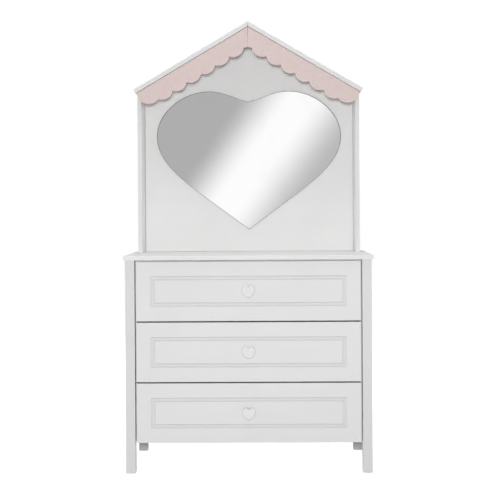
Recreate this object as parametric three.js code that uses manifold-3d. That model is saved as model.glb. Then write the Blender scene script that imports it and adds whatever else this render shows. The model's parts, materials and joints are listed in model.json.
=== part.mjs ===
// Child's dresser with three drawers and a house-shaped mirror unit standing on its top.
// Millimetres, +Z up, front facing -Y, left and right as seen from the front.
// The origin is on the floor, at the centre of the overall box.

import * as THREE from 'three';
import { mergeVertices } from 'three/addons/utils/BufferGeometryUtils.js';
import Module from 'manifold-3d';

// Dresser top
const topWidth = 940;
const topDepth = 470;
const topThickness = 16;
const dresserHeight = 818;
const topSideOverhang = 7;
const topFrontOverhang = 8;
const topBackOverhang = 8;

// Legs and their glides
const legSize = 36;
const rearLegInset = 5;
const glideDiameter = 24;
const glideThickness = 1.5;
const glideSpigotDiameter = 8;
const glideSpigotLength = 12;

// Carcass boards
const sidePanelThickness = 16;
const bottomPanelThickness = 16;
const backPanelThickness = 6;
const backPanelInset = 10;
const frontRailThickness = 16;
const frontRailDepth = 60;
const carcassFloorClearance = 116;

// Drawer fronts
const frontThickness = 18;
const frontSideGap = 5.5;
const frontTopGap = 5.4;
const frontSpacing = 4.8;
const frontRearClearance = 4;
const bottomPanelRise = 4;

// Routed ring on each front
const ringInset = 54;
const ringWidth = 16.4;
const ringGrooveWidth = 5;
const ringGrooveDepth = 2.4;
const ringBandDepth = 0.9;

// Drawer boxes
const boxRearGap = 20;
const boxSideHeight = 150;
const boxSideThickness = 12;
const boxBackThickness = 12;
const boxRise = 24;
const baseThickness = 4;
const baseRise = 10;
const grooveDepth = 5;

// Runners
const runnerThickness = 12.7;
const runnerHeight = 45;
const runnerWall = 1.2;
const runnerReach = 9.7;
const runnerClearance = 0.5;
const runnerSetback = 2;

// Knobs and their screws
const knobWidth = 50.5;
const knobHeight = 44;
const knobThickness = 11;
const knobEdge = 2.5;
const knobStemDiameter = 18;
const knobStemLength = 11;
const screwShankDiameter = 4;
const screwHeadDiameter = 9;
const screwHeadHeight = 2.6;
const screwKnobDepth = 12;

// Mirror unit
const unitSideInset = 26.5;
const unitDepth = 158;
const unitHeight = 923;
const uprightThickness = 16;
const unitBackThickness = 16;
const roofSlope = THREE.MathUtils.degToRad(30.5);
const roofThickness = 17;
const roofSideOverhang = 14.5;
const roofFrontOverhang = 17.5;

// Scalloped fascia
const fasciaThickness = 16;
const fasciaDepth = 65.8;
const scallopSag = 15.8;
const scallopCount = 6;
const fasciaCentreHalfWidth = 16.5;
const fasciaCentreRise = 3.6;
const endScallopRadius = 47;
const endScallopDepth = 23;
const fasciaEndInset = 5.2;

// Heart-shaped mirror
const mirrorSideMargin = 48.5;
const mirrorFootMargin = 90;
const mirrorRidgeMargin = 262;
const mirrorThickness = 4;

// Cam locks
const camDiameter = 15;
const camDepth = 12;
const camRise = 24;
const camEdgeDistance = 38;
const camSlotWidth = 2;
const camSlotLength = 8;
const camSlotDepth = 3;

// Clearances, and the overrun of a cutting body past the face that it opens
const seatGap = 0.3;
const cutOverrun = 1;

// Facets on round pieces
const holeSegments = 24;
const roundSegments = 32;
const scallopSegments = 8;
const endScallopSegments = 14;
const mirrorSegments = 14;
const knobSegments = 8;
const knobEdgeSegments = 2;

// Places shared by several pieces
const topFrontY = -topDepth / 2;
const topBackY = topDepth / 2;
const topUnderside = dresserHeight - topThickness;
const frontFaceY = topFrontY + topFrontOverhang;
const frontRearY = frontFaceY + frontThickness;
const frontLegRearY = frontFaceY + legSize;
const rearLegBackY = topBackY - topBackOverhang;
const rearLegFrontY = rearLegBackY - legSize;
const frontLegOuterX = topWidth / 2 - topSideOverhang;
const frontLegInnerX = frontLegOuterX - legSize;
const rearLegOuterX = frontLegOuterX - rearLegInset;
const carcassInnerX = rearLegOuterX - legSize;
const backPanelFrontY = rearLegBackY - backPanelInset - backPanelThickness;
const drawerNames = ['bottom', 'middle', 'top'];
const frontStack = topUnderside - frontTopGap - carcassFloorClearance;
const frontHeight = (frontStack - frontSpacing * (drawerNames.length - 1)) / drawerNames.length;
const frontHalfWidth = frontLegInnerX - frontSideGap;
const boxOuterX = carcassInnerX - runnerThickness;
const boxInnerX = boxOuterX - boxSideThickness;
const boxRearY = backPanelFrontY - boxRearGap;
const runnerFrontY = frontRearY + runnerSetback;
const runnerRearY = boxRearY + runnerSetback;
const runnerCentreRise = boxRise + boxSideHeight / 2;
const runnerMemberHeight = runnerHeight - 2 * (runnerWall + runnerClearance);
const runnerMemberReach = runnerThickness - runnerWall - runnerClearance;
const knobFaceY = frontFaceY - knobStemLength - knobThickness;
const unitFrontY = topBackY - unitDepth;
const unitBackFaceY = topBackY - unitBackThickness;
const unitOuterX = topWidth / 2 - unitSideInset;
const unitInnerX = unitOuterX - uprightThickness;
const roofFrontY = unitFrontY - roofFrontOverhang;
const roofEndX = unitOuterX + roofSideOverhang;
const roofEndUnderX = roofEndX - roofThickness * Math.sin(roofSlope);
const ridgeHeight = dresserHeight + unitHeight;
const ridgeUnderside = ridgeHeight - roofThickness / Math.cos(roofSlope);
const seatedRidge = ridgeUnderside - seatGap / Math.cos(roofSlope);
const frameCentreY = (knobFaceY + topBackY) / 2;
const sides = [{ name: 'left', sign: -1 }, { name: 'right', sign: 1 }];

// Materials
function whiteLacquer() {
  return new THREE.MeshStandardMaterial({ color: 0xe9e9e8, roughness: 0.42, metalness: 0 });
}

function pinkLacquer() {
  return new THREE.MeshStandardMaterial({ color: 0xdcc7c5, roughness: 0.5, metalness: 0 });
}

function whiteMelamine() {
  return new THREE.MeshStandardMaterial({ color: 0xe2e2e0, roughness: 0.6, metalness: 0 });
}

function silveredGlass() {
  return new THREE.MeshStandardMaterial({ color: 0xdfe3e3, roughness: 0.02, metalness: 1 });
}

function zincPlate() {
  return new THREE.MeshStandardMaterial({ color: 0xb4b7ba, roughness: 0.35, metalness: 1 });
}

function glidePlastic() {
  return new THREE.MeshStandardMaterial({ color: 0xcfcfcc, roughness: 0.55, metalness: 0 });
}

// Booleans on closed meshes
const wasm = await Module();
wasm.setup();

function toSolid(geometry) {
  const plain = geometry.clone();
  plain.deleteAttribute('normal');
  plain.deleteAttribute('uv');
  const merged = mergeVertices(plain);
  const vertProperties = new Float32Array(merged.attributes.position.array);
  const triVerts = new Uint32Array(merged.index.array);
  return new wasm.Manifold(new wasm.Mesh({ numProp: 3, vertProperties, triVerts }));
}

function toGeometry(solid) {
  const result = solid.getMesh();
  const geometry = new THREE.BufferGeometry();
  geometry.setAttribute('position', new THREE.BufferAttribute(result.vertProperties, 3));
  geometry.setIndex(new THREE.BufferAttribute(result.triVerts, 1));
  geometry.computeVertexNormals();
  return geometry;
}

function cut(geometry, ...tools) {
  const start = toSolid(geometry);
  return toGeometry(tools.reduce((solid, tool) => solid.subtract(toSolid(tool)), start));
}

// Basic shapes
function block(x0, x1, y0, y1, z0, z1) {
  const geometry = new THREE.BoxGeometry(x1 - x0, y1 - y0, z1 - z0);
  return geometry.translate((x0 + x1) / 2, (y0 + y1) / 2, (z0 + z1) / 2);
}

function uprightRod(diameter, z0, z1, segments) {
  const rod = new THREE.CylinderGeometry(diameter / 2, diameter / 2, z1 - z0, segments);
  return rod.rotateX(Math.PI / 2).translate(0, 0, (z0 + z1) / 2);
}

function rodAlongY(diameter, y0, y1, segments) {
  const rod = new THREE.CylinderGeometry(diameter / 2, diameter / 2, y1 - y0, segments);
  return rod.translate(0, (y0 + y1) / 2, 0);
}

function rodAlongX(diameter, x0, x1, segments) {
  const rod = new THREE.CylinderGeometry(diameter / 2, diameter / 2, x1 - x0, segments);
  return rod.rotateZ(Math.PI / 2).translate((x0 + x1) / 2, 0, 0);
}

// An outline in X and Z, given depth from y0 to y1
function plate(shape, y0, y1, options = {}) {
  const settings = { depth: y1 - y0, bevelEnabled: false, ...options };
  return new THREE.ExtrudeGeometry(shape, settings).rotateX(Math.PI / 2).translate(0, y1, 0);
}

function outline(points) {
  return new THREE.Shape(points.map(([x, z]) => new THREE.Vector2(x, z)));
}

function piece(name, geometry, material, x = 0, y = 0, z = 0) {
  const mesh = new THREE.Mesh(geometry, material);
  mesh.name = name;
  mesh.position.set(x, y, z);
  return mesh;
}

// Carcass of the dresser
function topPanel() {
  const geometry = new THREE.BoxGeometry(topWidth, topDepth, topThickness);
  return piece('top_panel', geometry, whiteLacquer(), 0, 0, topUnderside + topThickness / 2);
}

// A square leg, drilled from below for the spigot of its glide
function leg(name, x, y) {
  const post = block(-legSize / 2, legSize / 2, -legSize / 2, legSize / 2, glideThickness, topUnderside);
  const drillDiameter = glideSpigotDiameter + 2 * seatGap;
  const drillTop = glideThickness + glideSpigotLength + seatGap;
  const drill = uprightRod(drillDiameter, glideThickness - cutOverrun, drillTop, holeSegments);
  return piece(`leg_${name}`, cut(post, drill), whiteLacquer(), x, y);
}

// A round disc under the leg with a spigot that is pushed up into it
function footGlide(name, x, y) {
  const profile = [
    [0, 0],
    [glideDiameter / 2, 0],
    [glideDiameter / 2, glideThickness],
    [glideSpigotDiameter / 2, glideThickness],
    [glideSpigotDiameter / 2, glideThickness + glideSpigotLength],
    [0, glideThickness + glideSpigotLength],
  ];
  const points = profile.map(([r, z]) => new THREE.Vector2(r, z));
  const geometry = new THREE.LatheGeometry(points, holeSegments).rotateX(Math.PI / 2);
  return piece(`foot_glide_${name}`, geometry, glidePlastic(), x, y);
}

function legsAndGlides() {
  const group = new THREE.Group();
  const rows = [
    { name: 'front', outerX: frontLegOuterX, y: frontFaceY + legSize / 2 },
    { name: 'rear', outerX: rearLegOuterX, y: rearLegBackY - legSize / 2 },
  ];
  for (const row of rows) {
    for (const side of sides) {
      const x = side.sign * (row.outerX - legSize / 2);
      group.add(leg(`${row.name}_${side.name}`, x, row.y));
      group.add(footGlide(`${row.name}_${side.name}`, x, row.y));
    }
  }
  return group;
}

function sidePanel(side) {
  const depth = rearLegFrontY - frontLegRearY;
  const height = topUnderside - carcassFloorClearance;
  const geometry = new THREE.BoxGeometry(sidePanelThickness, depth, height);
  const x = side.sign * (carcassInnerX + sidePanelThickness / 2);
  const y = (rearLegFrontY + frontLegRearY) / 2;
  const z = carcassFloorClearance + height / 2;
  return piece(`side_panel_${side.name}`, geometry, whiteLacquer(), x, y, z);
}

function bottomPanel() {
  const z0 = carcassFloorClearance + bottomPanelRise;
  const z1 = z0 + bottomPanelThickness;
  const y0 = frontRearY + frontRearClearance;
  const geometry = block(-carcassInnerX, carcassInnerX, y0, backPanelFrontY, z0, z1);
  return piece('bottom_panel', geometry, whiteMelamine());
}

function backPanel() {
  const y1 = backPanelFrontY + backPanelThickness;
  const z0 = carcassFloorClearance;
  const geometry = block(-carcassInnerX, carcassInnerX, backPanelFrontY, y1, z0, topUnderside);
  return piece('back_panel', geometry, whiteMelamine());
}

function frontRail() {
  const y0 = frontRearY + frontRearClearance;
  const y1 = y0 + frontRailDepth;
  const z0 = topUnderside - frontRailThickness;
  const geometry = block(-carcassInnerX, carcassInnerX, y0, y1, z0, topUnderside);
  return piece('front_rail', geometry, whiteMelamine());
}

// Runner members are steel channels: direction is the side that the flanges point to
function channelShape(height, reach, direction) {
  const tip = direction * reach;
  const web = direction * runnerWall;
  const inside = height / 2 - runnerWall;
  return outline([
    [0, -height / 2],
    [tip, -height / 2],
    [tip, -inside],
    [web, -inside],
    [web, inside],
    [tip, inside],
    [tip, height / 2],
    [0, height / 2],
  ]);
}

function cabinetRunner(drawerName, side, z) {
  const shape = channelShape(runnerHeight, runnerReach, -side.sign);
  const geometry = plate(shape, runnerFrontY, runnerRearY);
  const name = `runner_rail_${drawerName}_${side.name}`;
  return piece(name, geometry, zincPlate(), side.sign * carcassInnerX, 0, z);
}

// Drawers
// Rectangles nested one inside the other and joined in turn, so that every corner is mitred.
// Each loop has its inset from the front's outline and its place in depth, the rear loop first.
function nestedRectangles(width, height, loops) {
  const positions = [];
  const index = [];
  const corners = [[-1, -1], [1, -1], [1, 1], [-1, 1]];
  for (const { inset, y } of loops) {
    for (const [sx, sz] of corners) positions.push(sx * (width / 2 - inset), y, sz * (height / 2 - inset));
  }
  index.push(0, 2, 1, 0, 3, 2);
  for (let i = 0; i + 1 < loops.length; i++) {
    const rear = i * corners.length;
    const front = rear + corners.length;
    for (let a = 0; a < corners.length; a++) {
      const b = (a + 1) % corners.length;
      index.push(rear + a, rear + b, front + b, rear + a, front + b, front + a);
    }
  }
  const last = (loops.length - 1) * corners.length;
  index.push(last, last + 1, last + 2, last, last + 2, last + 3);
  const geometry = new THREE.BufferGeometry();
  geometry.setAttribute('position', new THREE.Float32BufferAttribute(positions, 3));
  geometry.setIndex(index);
  return geometry;
}

// Two vee grooves with a slightly sunk flat band between them, around the whole front
function routedLoops() {
  const inner = ringInset + ringWidth;
  return [
    { inset: 0, y: frontRearY },
    { inset: 0, y: frontFaceY },
    { inset: ringInset, y: frontFaceY },
    { inset: ringInset + ringGrooveWidth / 2, y: frontFaceY + ringGrooveDepth },
    { inset: ringInset + ringGrooveWidth, y: frontFaceY + ringBandDepth },
    { inset: inner - ringGrooveWidth, y: frontFaceY + ringBandDepth },
    { inset: inner - ringGrooveWidth / 2, y: frontFaceY + ringGrooveDepth },
    { inset: inner, y: frontFaceY },
  ];
}

function drawerFront(drawerName) {
  const blank = nestedRectangles(2 * frontHalfWidth, frontHeight, routedLoops());
  blank.translate(0, 0, frontHeight / 2);
  const shankDrill = screwShankDiameter + 2 * seatGap;
  const drill = rodAlongY(shankDrill, frontFaceY - cutOverrun, frontRearY + cutOverrun, holeSegments);
  drill.translate(0, 0, frontHeight / 2);
  const grooveX = boxInnerX + grooveDepth;
  const grooveFloor = frontRearY - grooveDepth;
  const z0 = boxRise + baseRise - seatGap;
  const z1 = boxRise + baseRise + baseThickness + seatGap;
  const groove = block(-grooveX, grooveX, grooveFloor, frontRearY + cutOverrun, z0, z1);
  return piece(`drawer_${drawerName}_front`, cut(blank, drill, groove), whiteLacquer());
}

// A side's cross-section has the groove for the base near its lower edge
function drawerSide(drawerName, side) {
  const outer = side.sign * boxOuterX;
  const inner = side.sign * boxInnerX;
  const grooveFloor = side.sign * (boxInnerX + grooveDepth);
  const z0 = boxRise;
  const grooveBottom = z0 + baseRise - seatGap;
  const grooveTop = z0 + baseRise + baseThickness + seatGap;
  const shape = outline([
    [outer, z0],
    [inner, z0],
    [inner, grooveBottom],
    [grooveFloor, grooveBottom],
    [grooveFloor, grooveTop],
    [inner, grooveTop],
    [inner, z0 + boxSideHeight],
    [outer, z0 + boxSideHeight],
  ]);
  const geometry = plate(shape, frontRearY, boxRearY);
  return piece(`drawer_${drawerName}_side_${side.name}`, geometry, whiteMelamine());
}

function drawerBack(drawerName) {
  const z0 = boxRise + baseRise + baseThickness + seatGap;
  const z1 = boxRise + boxSideHeight;
  const y0 = boxRearY - boxBackThickness;
  const geometry = block(-boxInnerX, boxInnerX, y0, boxRearY, z0, z1);
  return piece(`drawer_${drawerName}_back`, geometry, whiteMelamine());
}

function drawerBase(drawerName) {
  const x = boxInnerX + grooveDepth - seatGap;
  const y0 = frontRearY - grooveDepth + seatGap;
  const z0 = boxRise + baseRise;
  const geometry = block(-x, x, y0, boxRearY, z0, z0 + baseThickness);
  return piece(`drawer_${drawerName}_base`, geometry, whiteMelamine());
}

function drawerRunner(drawerName, side) {
  const shape = channelShape(runnerMemberHeight, runnerMemberReach, side.sign);
  const geometry = plate(shape, runnerFrontY, runnerRearY);
  const name = `drawer_${drawerName}_slide_${side.name}`;
  return piece(name, geometry, zincPlate(), side.sign * boxOuterX, 0, runnerCentreRise);
}

// Heart outline with its tip at the origin. The shares are of the half width and of the height:
// a straight flank from the tip, a curve to the widest place, the lobe and the cleft.
const mirrorHeartShares = {
  flankEnd: [0.4, 0.196],
  flankPull: [0.73, 0.358],
  wideBelow: 0.492,
  wide: 0.675,
  wideAbove: 0.848,
  lobeOuter: 0.719,
  lobe: 0.438,
  lobeInner: 0.229,
  cleftPull: 0.107,
  cleft: 0.927,
};
const knobHeartShares = {
  flankEnd: [0.3, 0.16],
  flankPull: [0.62, 0.36],
  wideBelow: 0.47,
  wide: 0.66,
  wideAbove: 0.86,
  lobeOuter: 0.79,
  lobe: 0.5,
  lobeInner: 0.26,
  cleftPull: 0.1,
  cleft: 0.84,
};

function heartShape(width, height, shares, segments) {
  const x = share => share * width / 2;
  const z = share => share * height;
  const half = new THREE.Path();
  half.moveTo(0, 0);
  half.lineTo(x(shares.flankEnd[0]), z(shares.flankEnd[1]));
  half.bezierCurveTo(
    x(shares.flankPull[0]), z(shares.flankPull[1]),
    x(1), z(shares.wideBelow),
    x(1), z(shares.wide),
  );
  half.bezierCurveTo(x(1), z(shares.wideAbove), x(shares.lobeOuter), z(1), x(shares.lobe), z(1));
  half.bezierCurveTo(
    x(shares.lobeInner), z(1),
    x(shares.cleftPull), z(shares.cleft),
    0, z(shares.cleft),
  );
  const right = half.getPoints(segments);
  const left = right.slice(1, -1).reverse().map(point => new THREE.Vector2(-point.x, point.y));
  return new THREE.Shape([...right, ...left]);
}

// A heart-shaped face with softened edges on a round stem, drilled from behind for its screw
function knob(drawerName) {
  const heartRearY = frontFaceY - knobStemLength;
  const width = knobWidth - 2 * knobEdge;
  const height = knobHeight - 2 * knobEdge;
  const shape = heartShape(width, height, knobHeartShares, knobSegments);
  const face = plate(shape, knobFaceY + knobEdge, heartRearY - knobEdge, {
    bevelEnabled: true,
    bevelThickness: knobEdge,
    bevelSize: knobEdge,
    bevelSegments: knobEdgeSegments,
  });
  face.translate(0, 0, knobEdge - knobHeight / 2);
  const stem = rodAlongY(knobStemDiameter, heartRearY - knobEdge, frontFaceY, roundSegments);
  const drillDiameter = screwShankDiameter + 2 * seatGap;
  const drillEnd = frontFaceY - screwKnobDepth - seatGap;
  const drill = rodAlongY(drillDiameter, drillEnd, frontFaceY + cutOverrun, holeSegments);
  const body = toSolid(face).add(toSolid(stem)).subtract(toSolid(drill));
  return piece(`drawer_${drawerName}_knob`, toGeometry(body), whiteLacquer(), 0, 0, frontHeight / 2);
}

// A pan head behind the front and a shank through it into the knob
function knobScrew(drawerName) {
  const shankTip = frontFaceY - screwKnobDepth;
  const profile = [
    [0, 0],
    [screwShankDiameter / 2, 0],
    [screwShankDiameter / 2, frontRearY - shankTip],
    [screwHeadDiameter / 2, frontRearY - shankTip],
    [screwHeadDiameter / 2, frontRearY - shankTip + screwHeadHeight],
    [0, frontRearY - shankTip + screwHeadHeight],
  ];
  const points = profile.map(([r, along]) => new THREE.Vector2(r, along));
  const geometry = new THREE.LatheGeometry(points, holeSegments);
  return piece(`drawer_${drawerName}_knob_screw`, geometry, zincPlate(), 0, shankTip, frontHeight / 2);
}

function drawer(drawerName, z) {
  const group = new THREE.Group();
  group.add(drawerFront(drawerName));
  for (const side of sides) {
    group.add(drawerSide(drawerName, side));
    group.add(drawerRunner(drawerName, side));
  }
  group.add(drawerBack(drawerName));
  group.add(drawerBase(drawerName));
  group.add(knob(drawerName));
  group.add(knobScrew(drawerName));
  group.position.z = z;
  return group;
}

function drawersAndRunners() {
  const group = new THREE.Group();
  drawerNames.forEach((drawerName, i) => {
    const z = carcassFloorClearance + i * (frontHeight + frontSpacing);
    group.add(drawer(drawerName, z));
    for (const side of sides) group.add(cabinetRunner(drawerName, side, z + runnerCentreRise));
  });
  return group;
}

// Mirror unit
// Height of a line that falls away from the ridge at the roof's slope
function slopeHeight(ridge, x) {
  return ridge - Math.abs(x) * Math.tan(roofSlope);
}

// A side board, cut to the roof's slope at its top, with pockets for two cam locks
function upright(side) {
  const outer = side.sign * unitOuterX;
  const inner = side.sign * unitInnerX;
  const shape = outline([
    [inner, dresserHeight],
    [outer, dresserHeight],
    [outer, slopeHeight(seatedRidge, outer)],
    [inner, slopeHeight(seatedRidge, inner)],
  ]);
  const pocketDiameter = camDiameter + 2 * seatGap;
  const pocketFloor = inner + side.sign * (camDepth + seatGap);
  const pocketMouth = inner - side.sign * cutOverrun;
  const pockets = camPlaces().map(place => {
    const low = Math.min(pocketFloor, pocketMouth);
    const high = Math.max(pocketFloor, pocketMouth);
    return rodAlongX(pocketDiameter, low, high, holeSegments).translate(0, place.y, place.z);
  });
  const board = plate(shape, unitFrontY, topBackY);
  return piece(`upright_${side.name}`, cut(board, ...pockets), whiteLacquer());
}

function camPlaces() {
  const z = dresserHeight + camRise;
  return [
    { name: 'front', y: unitFrontY + camEdgeDistance, z },
    { name: 'rear', y: unitBackFaceY - camEdgeDistance, z },
  ];
}

// A round cam with a cross slot in the face that shows
function camLock(side, place) {
  const face = side.sign * unitInnerX;
  const low = Math.min(face, face + side.sign * camDepth);
  const body = rodAlongX(camDiameter, low, low + camDepth, holeSegments);
  const slotLow = Math.min(face - side.sign * cutOverrun, face + side.sign * camSlotDepth);
  const slotHigh = slotLow + camSlotDepth + cutOverrun;
  const long = camSlotLength / 2;
  const wide = camSlotWidth / 2;
  const slotA = block(slotLow, slotHigh, -long, long, -wide, wide);
  const slotB = block(slotLow, slotHigh, -wide, wide, -long, long);
  const name = `cam_lock_${side.name}_${place.name}`;
  return piece(name, cut(body, slotA, slotB), zincPlate(), 0, place.y, place.z);
}

function unitBackBoard() {
  const shape = outline([
    [-unitInnerX, dresserHeight],
    [unitInnerX, dresserHeight],
    [unitInnerX, slopeHeight(seatedRidge, unitInnerX)],
    [0, seatedRidge],
    [-unitInnerX, slopeHeight(seatedRidge, unitInnerX)],
  ]);
  const geometry = plate(shape, unitBackFaceY, topBackY);
  return piece('mirror_back_board', geometry, whiteLacquer());
}

// A sloping board, mitred at the ridge and cut square at its lower end
function roofBoard(side) {
  const ridgeX = seatGap / 2;
  const shape = outline([
    [side.sign * ridgeX, slopeHeight(ridgeUnderside, ridgeX)],
    [side.sign * roofEndUnderX, slopeHeight(ridgeUnderside, roofEndUnderX)],
    [side.sign * roofEndX, slopeHeight(ridgeHeight, roofEndX)],
    [side.sign * ridgeX, slopeHeight(ridgeHeight, ridgeX)],
  ]);
  const geometry = plate(shape, roofFrontY, topBackY);
  return piece(`roof_board_${side.name}`, geometry, whiteLacquer());
}

// The fascia's outline is set out along the roof's underside: u runs down the slope from the ridge
// and v is square to it. The scallops share the length between the centre and the larger end scallop.
function slopePoint(side, u, v) {
  const x = u * Math.cos(roofSlope) - v * Math.sin(roofSlope);
  const z = seatedRidge - u * Math.sin(roofSlope) - v * Math.cos(roofSlope);
  return [side.sign * x, z];
}

function arcPoints(centreU, centreV, radius, startAngle, endAngle, segments) {
  const points = [];
  for (let i = 1; i <= segments; i++) {
    const angle = startAngle + (endAngle - startAngle) * i / segments;
    points.push([centreU + radius * Math.cos(angle), centreV + radius * Math.sin(angle)]);
  }
  return points;
}

function fascia(side) {
  const jointX = seatGap / 2;
  const endStart = Math.PI - Math.asin((fasciaDepth - endScallopDepth) / endScallopRadius);
  const endStop = -Math.asin(endScallopDepth / endScallopRadius);
  const endU = (roofEndUnderX - fasciaEndInset) / Math.cos(roofSlope);
  const endCentreU = endU - endScallopRadius * Math.cos(endStop);
  const firstU = (fasciaCentreHalfWidth + fasciaDepth * Math.sin(roofSlope)) / Math.cos(roofSlope);
  const lastU = endCentreU + endScallopRadius * Math.cos(endStart);
  const pitch = (lastU - firstU) / scallopCount;
  const halfPitch = pitch / 2;
  const radius = (halfPitch ** 2 + scallopSag ** 2) / (2 * scallopSag);
  const centreV = fasciaDepth + scallopSag - radius;
  const halfAngle = Math.asin(halfPitch / radius);
  const firstCusp = slopePoint(side, firstU, fasciaDepth);
  const points = [
    [side.sign * jointX, slopeHeight(seatedRidge, jointX)],
    [side.sign * jointX, firstCusp[1] + fasciaCentreRise],
    firstCusp,
  ];
  for (let i = 0; i < scallopCount; i++) {
    const centreU = firstU + (i + 1 / 2) * pitch;
    const start = Math.PI / 2 + halfAngle;
    const end = Math.PI / 2 - halfAngle;
    const arc = arcPoints(centreU, centreV, radius, start, end, scallopSegments);
    for (const [u, v] of arc) points.push(slopePoint(side, u, v));
  }
  const arc = arcPoints(endCentreU, endScallopDepth, endScallopRadius, endStart, endStop, endScallopSegments);
  for (const [u, v] of arc) points.push(slopePoint(side, u, v));
  const geometry = plate(outline(points), unitFrontY - fasciaThickness, unitFrontY);
  return piece(`scalloped_fascia_${side.name}`, geometry, pinkLacquer());
}

function heartMirror() {
  const width = 2 * (unitInnerX - mirrorSideMargin);
  const height = unitHeight - mirrorFootMargin - mirrorRidgeMargin;
  const shape = heartShape(width, height, mirrorHeartShares, mirrorSegments);
  const geometry = plate(shape, unitBackFaceY - mirrorThickness, unitBackFaceY);
  return piece('heart_mirror', geometry, silveredGlass(), 0, 0, dresserHeight + mirrorFootMargin);
}

function mirrorUnit() {
  const group = new THREE.Group();
  group.add(unitBackBoard());
  group.add(heartMirror());
  for (const side of sides) {
    group.add(upright(side));
    group.add(roofBoard(side));
    group.add(fascia(side));
    for (const place of camPlaces()) group.add(camLock(side, place));
  }
  return group;
}

function dresser() {
  const group = new THREE.Group();
  group.add(topPanel());
  group.add(legsAndGlides());
  for (const side of sides) group.add(sidePanel(side));
  group.add(bottomPanel());
  group.add(backPanel());
  group.add(frontRail());
  group.add(drawersAndRunners());
  group.add(mirrorUnit());
  group.position.y = -frameCentreY;
  return group;
}

export default dresser();
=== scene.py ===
import json
import math

import bmesh
import bpy
from mathutils import Matrix, Vector


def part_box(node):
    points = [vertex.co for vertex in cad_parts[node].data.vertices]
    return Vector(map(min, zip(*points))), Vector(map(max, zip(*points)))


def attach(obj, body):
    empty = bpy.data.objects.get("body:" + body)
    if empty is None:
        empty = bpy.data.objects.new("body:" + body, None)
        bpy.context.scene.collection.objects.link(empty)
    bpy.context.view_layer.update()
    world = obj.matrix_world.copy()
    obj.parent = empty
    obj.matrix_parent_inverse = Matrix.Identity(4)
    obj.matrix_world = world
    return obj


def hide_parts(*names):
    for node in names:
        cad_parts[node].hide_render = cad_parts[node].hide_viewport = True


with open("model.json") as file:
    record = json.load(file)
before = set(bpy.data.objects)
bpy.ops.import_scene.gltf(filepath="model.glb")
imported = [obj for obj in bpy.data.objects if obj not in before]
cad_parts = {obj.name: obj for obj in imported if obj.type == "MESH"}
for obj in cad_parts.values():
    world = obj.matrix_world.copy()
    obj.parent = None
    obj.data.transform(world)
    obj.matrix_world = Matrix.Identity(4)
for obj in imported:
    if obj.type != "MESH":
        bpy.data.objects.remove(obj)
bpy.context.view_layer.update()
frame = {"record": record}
record = frame["record"]
slotOf = {part["node"]: part["material_slot"] for part in record["subparts"]}
bodyOf = {node: body for body, nodes in record["behaviour"]["bodies"].items() for node in nodes}
sides = ["left", "right"]
rows = ["front", "rear"]
drawers = ["bottom", "middle", "top"]
mm = 0.001
touching = 0.001 * mm  # points closer than this are one point
hair = 0.01 * mm  # slack when a face is picked by its place
flatAngle = math.radians(0.4)  # faces that turn less than this are one face
edgeSteps = 3  # faces across a rounded edge
bandLow, bandHigh = 0.3, 0.7  # the part of a noise that turns into patches of roughness


# Shader expressions: a wire is one socket of a material, and sums on wires add Math nodes
class Wire:
    def __init__(self, tree, socket=None):
        self.tree = tree
        self.socket = socket

    def make(self, kind, settings=None, inputs=None, output=0):
        node = self.tree.nodes.new(kind)
        for name, value in (settings or {}).items():
            setattr(node, name, value)
        for name, value in (inputs or {}).items():
            if isinstance(value, Wire):
                self.tree.links.new(value.socket, node.inputs[name])
            else:
                node.inputs[name].default_value = value
        return Wire(self.tree, node.outputs[output] if len(node.outputs) else None)

    def math(self, operation, a, b=0.0, clamp=False):
        return self.make("ShaderNodeMath", {"operation": operation, "use_clamp": clamp}, {0: a, 1: b})

    def __add__(self, other):
        return self.math("ADD", self, other)

    def __radd__(self, other):
        return self.math("ADD", other, self)

    def __sub__(self, other):
        return self.math("SUBTRACT", self, other)

    def __rsub__(self, other):
        return self.math("SUBTRACT", other, self)

    def __mul__(self, other):
        return self.math("MULTIPLY", self, other)

    def __rmul__(self, other):
        return self.math("MULTIPLY", other, self)

    def ramp(self, low, high):
        settings = {"interpolation_type": "SMOOTHSTEP"}
        return self.make("ShaderNodeMapRange", settings, {"Value": self, "From Min": low, "From Max": high})

    def mix(self, a, b):
        return self.make("ShaderNodeMix", {"data_type": "RGBA"}, {0: self, 6: a, 7: b}, output=2)


def newMaterial(name):
    material = bpy.data.materials.new(name)
    material.use_nodes = True
    material.node_tree.nodes.clear()
    return material, Wire(material.node_tree)


def surface(material, start, **inputs):
    names = {"colour": "Base Color", "roughness": "Roughness", "metallic": "Metallic", "normal": "Normal",
             "coat": "Coat Weight", "coatRoughness": "Coat Roughness", "specular": "Specular IOR Level"}
    sockets = {names[key]: value for key, value in inputs.items()}
    shader = start.make("ShaderNodeBsdfPrincipled", None, sockets)
    start.make("ShaderNodeOutputMaterial", None, {"Surface": shader})
    return material


def grey(level, warmth=1):
    return (level, level, level * warmth, 1)


def grain(start, scale, detail=4, stretch=(1, 1, 1)):
    place = start.make("ShaderNodeTexCoord", output="Object")
    place = start.make("ShaderNodeMapping", None, {"Vector": place, "Scale": stretch})
    return start.make("ShaderNodeTexNoise", None, {"Vector": place, "Scale": scale, "Detail": detail})


def patches(start, scale, low, high, detail=4, stretch=(1, 1, 1)):
    # Soft patches: 0 where the grain is below the low value, 1 where it is above the high one
    return grain(start, scale, detail, stretch).ramp(low, high)


def cells(start, scale, feature, output):
    place = start.make("ShaderNodeTexCoord", output="Object")
    return start.make("ShaderNodeTexVoronoi", {"feature": feature}, {"Vector": place, "Scale": scale}, output)


def uneven(start, look):
    # Roughness in patches, as far above the look's own value as below it
    swing = look["roughSwing"]
    blotches = patches(start, look["roughScale"], bandLow, bandHigh, look.get("roughDetail", 4))
    return blotches * swing + (look["roughness"] - swing / 2)


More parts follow.
